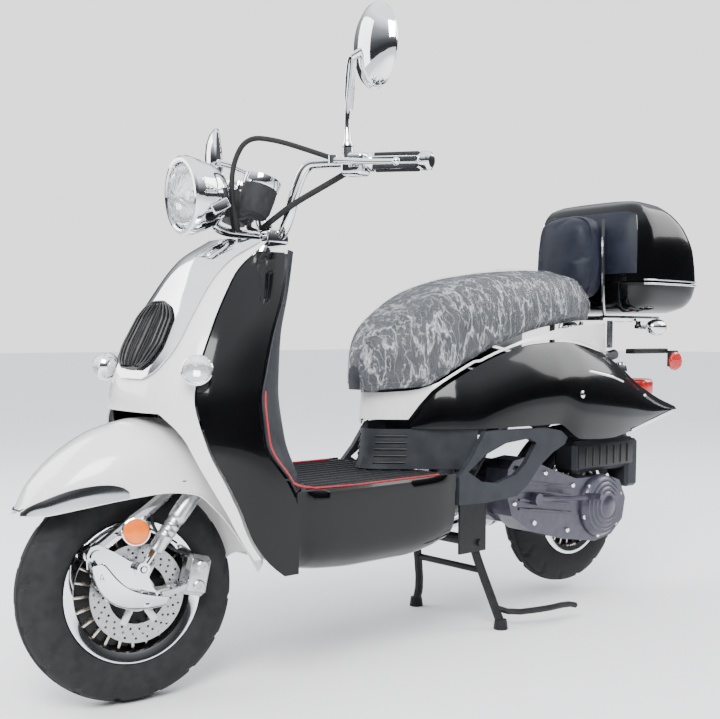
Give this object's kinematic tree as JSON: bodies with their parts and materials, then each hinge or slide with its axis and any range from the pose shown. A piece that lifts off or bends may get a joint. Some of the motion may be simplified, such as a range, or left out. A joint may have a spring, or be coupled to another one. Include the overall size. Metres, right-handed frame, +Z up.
{
  "type": "moped scooter",
  "caption": "Retro-style step-through moped scooter on its centre stand, with turning steering, link fork, swinging engine unit, opening seat, top trunk and folding stand.",
  "frame": {"origin": "on the ground under the middle of the whole scooter", "axes": "+Y to the rear, +X to the rider's left, +Z up; the front wheel faces -Y"},
  "size_m": [0.7242, 1.9295, 1.3555],
  "materials": {
    "white_paint": "gloss white",
    "black_paint": "gloss black",
    "grey_plastic": "satin grey",
    "frame_paint": "satin black",
    "chrome": "polished",
    "chrome_plastic": "chrome plated plastic",
    "alloy": "cast and satin",
    "tyre_rubber": "tread rubber",
    "grip_rubber": "ribbed",
    "seat_vinyl": "grained vinyl",
    "clear_lens": "clear",
    "red_lens": "red lens",
    "engine_paint": "painted castings",
    "steel": "bright steel"
  },
  "bodies": {
    "chassis": {"frame": "frame_paint", "front_cowl": "white_paint", "chrome_front_trim": "chrome_plastic", "grille": "grey_plastic", "leg_panel_left": "black_paint", "leg_panel_right": "black_paint", "inner_leg_shield": "grey_plastic", "front_signal_left": "chrome_plastic", "front_signal_right": "chrome_plastic", "floorboard": "grey_plastic", "belly_pan": "black_paint", "under_seat_panel": "grey_plastic", "side_skirt_left": "grey_plastic", "side_skirt_right": "grey_plastic", "seat_cowl": "white_paint", "side_cowl_left": "black_paint", "side_cowl_right": "black_paint", "storage_bucket": "grey_plastic", "rear_fender": "grey_plastic", "tail_light": "red_lens", "tail_signal_left": "chrome_plastic", "tail_signal_right": "chrome_plastic", "rear_rack": "chrome", "trunk_base": "black_paint", "backrest_pad": "seat_vinyl", "rear_shock": "steel"},
    "steering_assembly": {"fork": "chrome", "front_fender": "white_paint", "handlebar": "chrome", "grip_left": "grip_rubber", "switch_housing_left": "alloy", "switch_housing_right": "alloy", "headlight_shell": "chrome_plastic", "headlight_lens": "clear_lens", "gauge_cluster": "grey_plastic"},
    "throttle": {"throttle_grip": "grip_rubber"},
    "left_lever": {"brake_lever_left": "chrome"},
    "right_lever": {"brake_lever_right": "chrome"},
    "left_mirror": {"mirror_left": "chrome"},
    "right_mirror": {"mirror_right": "chrome"},
    "front_links": {"front_link_left": "chrome", "front_link_right": "chrome", "brake_caliper": "alloy"},
    "shock_bodies": {"front_shock_body_left": "alloy", "front_shock_body_right": "alloy"},
    "shock_rods": {"front_shock_rod_left": "chrome", "front_shock_rod_right": "chrome"},
    "front_wheel": {"front_rim": "alloy", "front_tyre": "tyre_rubber", "brake_disc": "steel"},
    "swing_unit": {"engine_case": "engine_paint", "clutch_cover": "engine_paint", "muffler": "chrome", "air_filter": "grey_plastic"},
    "kick_starter": {"kick_lever": "steel"},
    "rear_wheel": {"rear_rim": "alloy", "rear_tyre": "tyre_rubber"},
    "stand": {"centre_stand": "frame_paint"},
    "saddle": {"seat": "seat_vinyl"},
    "trunk_top": {"trunk_lid": "black_paint"}
  },
  "joints": [
    {"name": "steering", "type": "hinge", "parent": "chassis", "child": "steering_assembly", "pos_m": [-0.0131, -0.8251, 0.0008], "axis": [0, 0.4147, 0.91], "range_deg": [-25, 41]},
    {"name": "throttle_twist", "type": "hinge", "parent": "steering_assembly", "child": "throttle", "pos_m": [-0.24526, -0.26984, 1.01581], "axis": [-0.8521, 0.4936, -0.1738], "range_deg": [0, 75], "stiffness_Nm_per_rad": 0.25, "springref_deg": -22.92},
    {"name": "left_brake_lever", "type": "hinge", "parent": "steering_assembly", "child": "left_lever", "pos_m": [0.19273, -0.40144, 1.04579], "axis": [-0.0577, 0.0037, 0.9983], "range_deg": [0, 12], "stiffness_Nm_per_rad": 3, "springref_deg": -8.59},
    {"name": "right_brake_lever", "type": "hinge", "parent": "steering_assembly", "child": "right_lever", "pos_m": [-0.22414, -0.34813, 1.02149], "axis": [0.0577, -0.0037, -0.9983], "range_deg": [0, 12], "stiffness_Nm_per_rad": 3, "springref_deg": -8.59},
    {"name": "left_mirror_turn", "type": "hinge", "parent": "steering_assembly", "child": "left_mirror", "pos_m": [0.18578, -0.35823, 1.07639], "axis": [-0.0577, 0.0037, 0.9983], "range_deg": [-50, 50]},
    {"name": "right_mirror_turn", "type": "hinge", "parent": "steering_assembly", "child": "right_mirror", "pos_m": [-0.21013, -0.3076, 1.05332], "axis": [-0.0577, 0.0037, 0.9983], "range_deg": [-50, 30]},
    {"name": "front_suspension", "type": "hinge", "parent": "steering_assembly", "child": "front_links", "pos_m": [-0.03132, -0.83294, 0.29627], "axis": [0.9903, -0.1266, 0.0577], "range_deg": [0, 10], "stiffness_Nm_per_rad": 1200, "springref_deg": -3.44},
    {"name": "front_shock_swing", "type": "hinge", "parent": "steering_assembly", "child": "shock_bodies", "pos_m": [-0.01186, -0.62218, 0.42484], "axis": [0.9903, -0.1266, 0.0577], "range_deg": [-2.5, 0.5]},
    {"name": "front_shock_travel", "type": "slide", "parent": "shock_bodies", "child": "shock_rods", "axis": [-0.0364, -0.636, -0.7709], "range_m": [-0.016, 0.001]},
    {"name": "front_wheel_spin", "type": "hinge", "parent": "front_links", "child": "front_wheel", "pos_m": [-0.01601, -0.74991, 0.21572], "axis": [0.9903, -0.1266, 0.0577], "continuous": true},
    {"name": "swing_unit_pivot", "type": "hinge", "parent": "chassis", "child": "swing_unit", "pos_m": [-0.0131, 0.1199, 0.3958], "axis": [1, 0, 0], "range_deg": [0, 4.5], "deforming": ["rear_shock"]},
    {"name": "kick_start", "type": "hinge", "parent": "swing_unit", "child": "kick_starter", "pos_m": [-0.0131, 0.2799, 0.3058], "axis": [-1, 0, 0], "range_deg": [0, 45], "stiffness_Nm_per_rad": 4, "springref_deg": -28.65},
    {"name": "rear_wheel_spin", "type": "hinge", "parent": "swing_unit", "child": "rear_wheel", "pos_m": [-0.0131, 0.5809, 0.2488], "axis": [1, 0, 0], "continuous": true},
    {"name": "stand_pivot", "type": "hinge", "parent": "chassis", "child": "stand", "pos_m": [-0.0131, 0.1159, 0.2138], "axis": [1, 0, 0], "range_deg": [0, 48]},
    {"name": "seat_hinge", "type": "hinge", "parent": "chassis", "child": "saddle", "pos_m": [-0.0131, -0.1751, 0.6008], "axis": [1, 0, 0], "range_deg": [0, 55]},
    {"name": "trunk_hinge", "type": "hinge", "parent": "chassis", "child": "trunk_top", "pos_m": [-0.0131, 0.9659, 0.8493], "axis": [-1, 0, 0], "range_deg": [0, 75]}
  ],
  "couplings": [
    {"joint": "front_shock_swing", "follows": "front_suspension", "ratio": -0.1915},
    {"joint": "front_shock_travel", "follows": "front_suspension", "m_per_rad": -0.0775}
  ]
}
